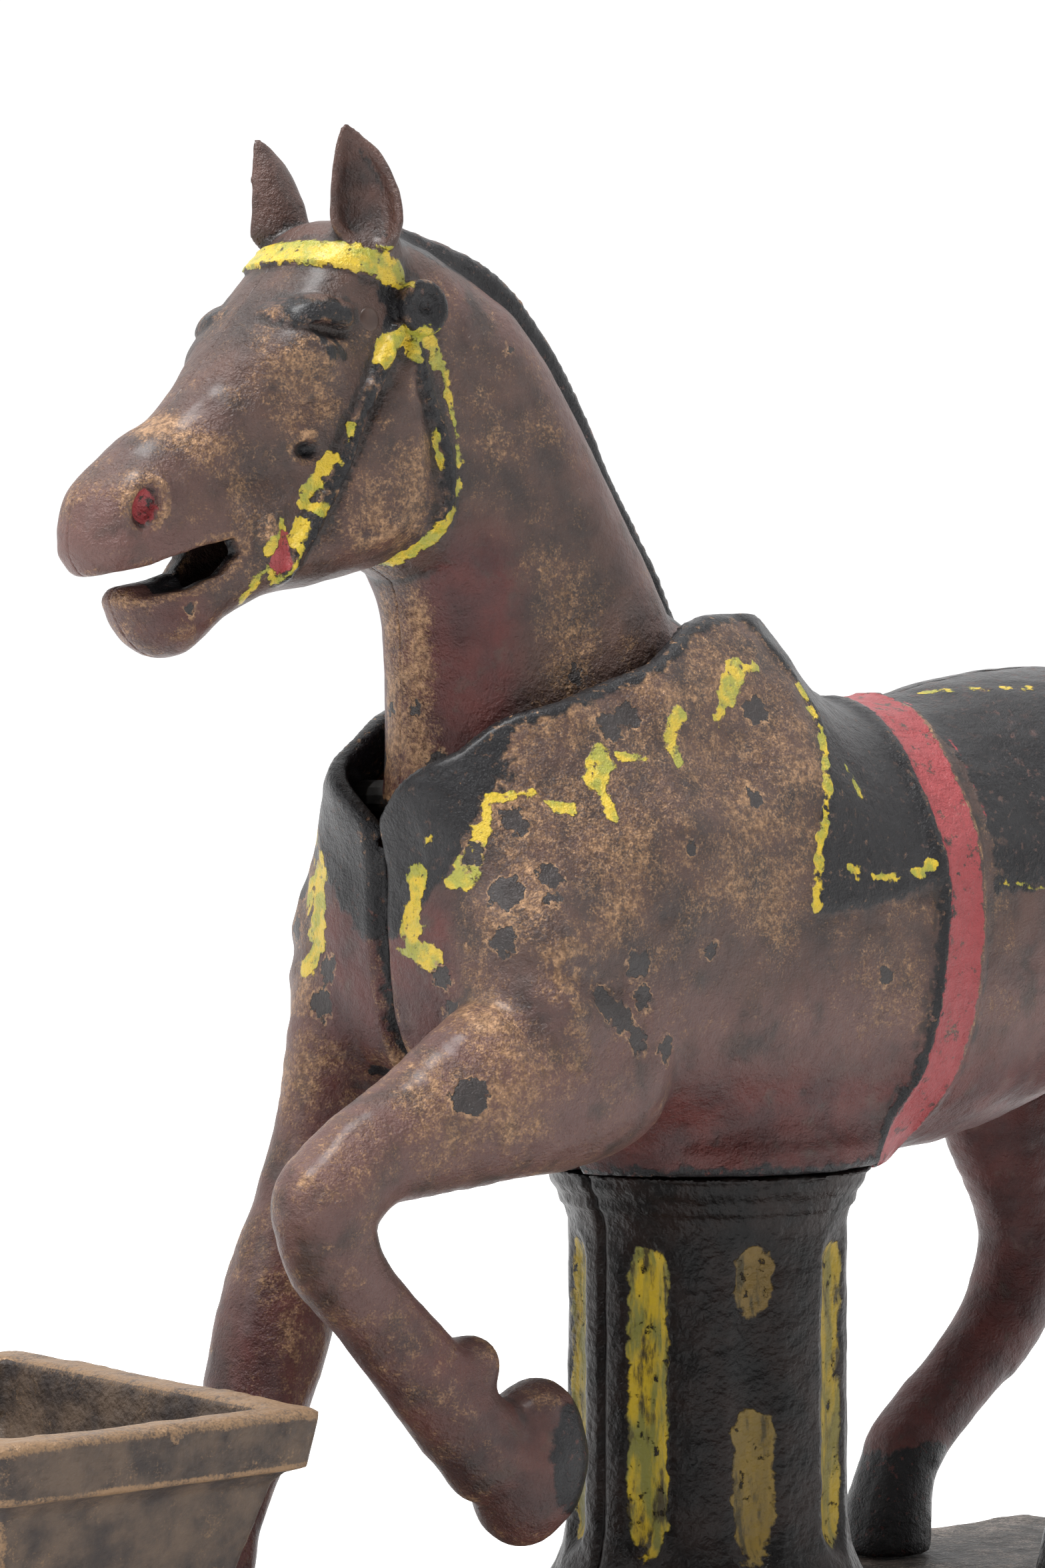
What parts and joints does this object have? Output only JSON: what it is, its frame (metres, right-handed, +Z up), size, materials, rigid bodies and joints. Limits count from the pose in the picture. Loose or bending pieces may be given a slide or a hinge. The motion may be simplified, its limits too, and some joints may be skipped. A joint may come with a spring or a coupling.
{
  "type": "mechanical coin bank",
  "caption": "Cast-iron mechanical coin bank: a bridled horse on a fluted column over a hollow base bows its head and drops a coin into the manger when the rear knob is pulled.",
  "frame": {"origin": "centre of the base's underside, on the plane that the bank stands on", "axes": "+X from the horse's head towards its tail, +Y to the horse's right side, +Z up"},
  "size_m": [0.1968, 0.072, 0.1862],
  "materials": {
    "body_paint": "chestnut enamel over cast iron, worn to bronze and black",
    "head_paint": "chestnut enamel worn to bronze, black mane, yellow bridle",
    "column_paint": "black enamel with ochre in the flutes",
    "manger_paint": "dark brown enamel worn to bronze",
    "base_paint": "dark enamel, crackled and rubbed",
    "bare_iron": "bare cast iron, darkened",
    "steel": "dull steel"
  },
  "bodies": {
    "stand": {"base_box": "base_paint", "base_plate": "bare_iron", "base_screw_1": "steel", "base_screw_2": "steel", "base_screw_3": "steel", "base_screw_4": "steel", "trap_screw": "steel", "manger": "manger_paint", "manger_screw_left": "steel", "manger_screw_right": "steel", "flap_pin": "steel", "column_left": "column_paint", "column_right": "column_paint", "column_screw_left": "steel", "column_screw_right": "steel", "body_left": "body_paint", "body_right": "body_paint", "body_rivet_front": "body_paint", "body_rivet_rear": "body_paint", "neck_pivot_pin": "steel", "crank_pin": "steel", "return_spring": "steel"},
    "head": {"head_left": "head_paint", "head_right": "head_paint", "head_rivet_upper": "head_paint", "head_rivet_lower": "bare_iron", "neck_lug_pin": "steel"},
    "rod": {"push_rod": "bare_iron"},
    "crank": {"bell_crank": "bare_iron", "push_rod_pin": "steel", "pull_rod_pin": "steel"},
    "pull": {"pull_rod": "bare_iron", "pull_knob": "bare_iron", "flap_link": "steel"},
    "flap": {"manger_flap": "bare_iron"},
    "trap": {"coin_trap": "bare_iron"}
  },
  "joints": [
    {"name": "head_nod", "type": "hinge", "parent": "stand", "child": "head", "pos_m": [-0.0213, 0, 0.1187], "axis": [0, -1, 0], "range_deg": [0, 50], "stiffness_Nm_per_rad": 0.16, "springref_deg": -28.65},
    {"name": "rod_lift", "type": "slide", "parent": "stand", "child": "rod", "axis": [0, 0, 1], "range_m": [0, 0.01269]},
    {"name": "crank_turn", "type": "hinge", "parent": "stand", "child": "crank", "pos_m": [0.028, 0, 0.013], "axis": [0, 1, 0], "range_deg": [0, 60.01]},
    {"name": "knob_pull", "type": "slide", "parent": "stand", "child": "pull", "axis": [1, 0, 0], "range_m": [0, 0.00951], "deforming": ["return_spring"]},
    {"name": "flap_drop", "type": "hinge", "parent": "stand", "child": "flap", "pos_m": [-0.0646, 0, 0.0246], "axis": [0, -1, 0], "range_deg": [0, 50.01]},
    {"name": "trap_swing", "type": "hinge", "parent": "stand", "child": "trap", "pos_m": [-0.05, -0.017, 0.0035], "axis": [0, 0, -1], "range_deg": [0, 85]}
  ],
  "couplings": [
    {"joint": "rod_lift", "follows": "head_nod", "m_per_rad": 0.014529},
    {"joint": "crank_turn", "follows": "head_nod", "ratio": 1.2},
    {"joint": "knob_pull", "follows": "head_nod", "m_per_rad": 0.010886},
    {"joint": "flap_drop", "follows": "head_nod", "ratio": 1}
  ]
}
